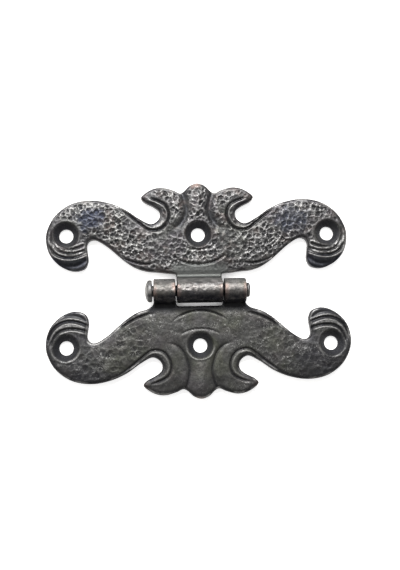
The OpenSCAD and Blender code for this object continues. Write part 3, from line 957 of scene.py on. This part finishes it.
    # painted highlight along the barrels, broken up by noise
    highlight_mottle = N.math("MULTIPLY", N.ramp(fine, (0.35, 0.2), (0.6, 1.0)), N.ramp(N.noise(700, 4, 0.6, 0.4, 15 + k), (0.38, 0.25), (0.55, 1.0)))
    base = N.mix(N.math("MULTIPLY", N.math("MULTIPLY", N.attr("painted_barrel_highlight"), highlight_mottle), 0.46), base, (0.50, 0.47, 0.44))
    base = N.mix(N.math("MULTIPLY", ke, 0.60), base, (0.34, 0.225, 0.19))
    # painted shade on the underside of the barrels
    base = N.mix(N.math("MULTIPLY", N.attr("painted_underside_shade"), N.ramp(N.noise(650, 4, 0.6, 0.3, 17 + k), (0.42, 0.95), (0.66, 0.55))), base, (0.016, 0.016, 0.022))
    # painted shade on the fillet between neck and barrel
    base = N.mix(N.math("MULTIPLY", N.attr("fillet"), 0.85), base, (0.074, 0.077, 0.073))
    # painted light over the dark reflection where the neck meets the barrel
    base = N.mix(N.math("MULTIPLY", N.attr("painted_seam_light"), 0.85), base, (0.36, 0.35, 0.34))
    # painted light on the tops of the barrels
    base = N.mix(N.math("MULTIPLY", N.attr("top"), 0.70), base, N.mix(bar, (0.18, 0.18, 0.175), (0.36, 0.345, 0.335)))

    p = N.add("ShaderNodeBsdfPrincipled")
    N.link(base, p.inputs["Base Color"])
    p.inputs["Metallic"].default_value = 0.85
    p.inputs["Specular IOR Level"].default_value = 0.4
    rough = N.ramp(fine, (0.3, 0.36 if upper else 0.42), (0.75, 0.56 if upper else 0.60))
    rough = N.mix(N.math("MULTIPLY", N.attr("low"), 0.5), rough, (0.55, 0.55, 0.55))
    rough = N.mix(N.attr("sink"), rough, (0.50, 0.50, 0.50))
    N.link(rough, p.inputs["Roughness"])
    b1 = N.add("ShaderNodeBump")
    b1.inputs["Strength"].default_value = 0.35
    b1.inputs["Distance"].default_value = 0.00012
    N.link(fine, b1.inputs["Height"])
    b2 = N.add("ShaderNodeBump")
    b2.inputs["Strength"].default_value = 0.30
    b2.inputs["Distance"].default_value = 0.00004
    N.link(grain, b2.inputs["Height"])
    N.link(b1.outputs["Normal"], b2.inputs["Normal"])
    b3 = N.add("ShaderNodeBump")
    b3.inputs["Strength"].default_value = 0.8
    b3.inputs["Distance"].default_value = 0.00022
    N.link(N.math("MULTIPLY", N.noise(850, 3, 0.55, 0.3, 19 + k), N.attr("barrel")), b3.inputs["Height"])
    N.link(b2.outputs["Normal"], b3.inputs["Normal"])
    N.link(b3.outputs["Normal"], p.inputs["Normal"])
    out = N.add("ShaderNodeOutputMaterial")
    N.link(p.outputs["BSDF"], out.inputs["Surface"])
    return N.m


def pin_metal():
    N = Nodes("pin_steel")
    big = N.noise(500, 4, 0.6, 0.4, 21)
    fine = N.noise(2400, 3, 0.6, 0.0, 22)
    base = N.mix(N.ramp(big, (0.35, 0.0), (0.65, 1.0)), (0.12, 0.12, 0.122), (0.31, 0.303, 0.292))
    base = N.mix(N.ramp(fine, (0.62, 0.0), (0.74, 0.6)), base, (0.10, 0.10, 0.105))
    # painted shade: the shank, seen only in the gaps between the knuckles, is near-black
    base = N.mix(N.attr("shank"), base, (0.012, 0.012, 0.014))
    p = N.add("ShaderNodeBsdfPrincipled")
    N.link(base, p.inputs["Base Color"])
    p.inputs["Metallic"].default_value = 0.9
    N.link(N.ramp(big, (0.3, 0.44), (0.7, 0.58)), p.inputs["Roughness"])
    b = N.add("ShaderNodeBump")
    b.inputs["Strength"].default_value = 0.3
    b.inputs["Distance"].default_value = 0.00006
    N.link(fine, b.inputs["Height"])
    N.link(b.outputs["Normal"], p.inputs["Normal"])
    out = N.add("ShaderNodeOutputMaterial")
    N.link(p.outputs["BSDF"], out.inputs["Surface"])
    return N.m


upper = build_leaf("upper")
lower = build_leaf("lower")
pin = build_pin()
upper.data.materials.append(cast_metal("upper_cast", True))
lower.data.materials.append(cast_metal("lower_cast", False))
pin.data.materials.append(pin_metal())
for obj, body, node, slot in ((upper, "upper_leaf", "upper_leaf", "upper_cast"), (lower, "lower_leaf", "lower_leaf", "lower_cast"), (pin, "pin", "hinge_pin", "pin_steel")):
    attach(obj, body)
    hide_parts(node)

# ---------------------------------------------------------------- camera
F_PX = 690.0
SC = 0.9807
RV = Vector((math.radians(-6.07), math.radians(3.5), math.radians(1.09)))
TL = (-1.037, 6.770)
D = 200.0
R = Matrix.Rotation(RV.length, 3, RV.normalized())
Tv = Vector((TL[0] / 3.45, -TL[1] / 3.45, 0)) / SC
pos = R.transposed() @ (Vector((0, 0, D / SC)) - Tv)
cam_data = bpy.data.cameras.new("camera")
cam = bpy.data.objects.new("camera", cam_data)
bpy.context.scene.collection.objects.link(cam)
cam.matrix_world = Matrix.Translation(pos * MM) @ R.transposed().to_4x4()
cam_data.sensor_width = 36
cam_data.lens = F_PX / 570 * 36
cam_data.clip_start = 0.005
cam_data.clip_end = 20
bpy.context.scene.camera = cam

# ---------------------------------------------------------------- floor and light
me = bpy.data.meshes.new("floor")
me.from_pydata([(-3, -3, 0), (3, -3, 0), (3, 3, 0), (-3, 3, 0)], [], [(0, 1, 2, 3)])
floor = add_object("floor", me)
floor.location.z = cad_lo[2] - 0.0001
fm = bpy.data.materials.new("floor_white")
fm.use_nodes = True
bs = fm.node_tree.nodes["Principled BSDF"]
bs.inputs["Base Color"].default_value = (0.92, 0.90, 0.87, 1)
bs.inputs["Roughness"].default_value = 0.9
bs.inputs["Specular IOR Level"].default_value = 0.1
bs.inputs["Emission Color"].default_value = (1, 1, 1, 1)
ft = fm.node_tree
# the floor glows white, and ambient occlusion dims the glow, painting shade in narrow gaps and along the contact edges
ao = ft.nodes.new("ShaderNodeAmbientOcclusion")
ao.samples = 8
ao.inputs["Distance"].default_value = 0.006
mr = ft.nodes.new("ShaderNodeMapRange")
mr.inputs["From Min"].default_value = 0.06
mr.inputs["From Max"].default_value = 0.30
mr.inputs["To Min"].default_value = 0.0
mr.inputs["To Max"].default_value = 0.79
ft.links.new(ao.outputs["AO"], mr.inputs["Value"])
ft.links.new(mr.outputs["Result"], bs.inputs["Emission Strength"])
me.materials.append(fm)


def softbox(name, where, size, power, size_y=None):
    ld = bpy.data.lights.new(name, "AREA")
    ld.shape = "RECTANGLE"
    ld.size = size
    ld.size_y = size_y or size
    ld.energy = power
    o = bpy.data.objects.new(name, ld)
    bpy.context.scene.collection.objects.link(o)
    o.location = where
    o.rotation_euler = (Vector((0, 0, 0)) - Vector(where)).to_track_quat("-Z", "Y").to_euler()
    return o


softbox("key", (-0.04, 0.42, 0.50), 0.50, 6.0, 0.25)
softbox("fill_left", (-0.55, 0.10, 0.45), 0.35, 0.8)
softbox("fill_right", (0.55, 0.05, 0.50), 0.35, 0.35)
world = bpy.data.worlds.new("studio")
bpy.context.scene.world = world
world.use_nodes = True
wt = world.node_tree
wt.nodes["Background"].inputs["Color"].default_value = (1, 1, 1, 1)
wt.nodes["Background"].inputs["Strength"].default_value = 0.14
# the studio behind the floor is white to look at, though it lights the metal only faintly
seen = wt.nodes.new("ShaderNodeBackground")
seen.inputs["Color"].default_value = (1, 1, 1, 1)
seen.inputs["Strength"].default_value = 1.0
pick = wt.nodes.new("ShaderNodeMixShader")
wt.links.new(wt.nodes.new("ShaderNodeLightPath").outputs["Is Camera Ray"], pick.inputs["Fac"])
wt.links.new(wt.nodes["Background"].outputs["Background"], pick.inputs[1])
wt.links.new(seen.outputs["Background"], pick.inputs[2])
wt.links.new(pick.outputs["Shader"], wt.nodes["World Output"].inputs["Surface"])
bpy.context.scene.view_settings.view_transform = "Standard"
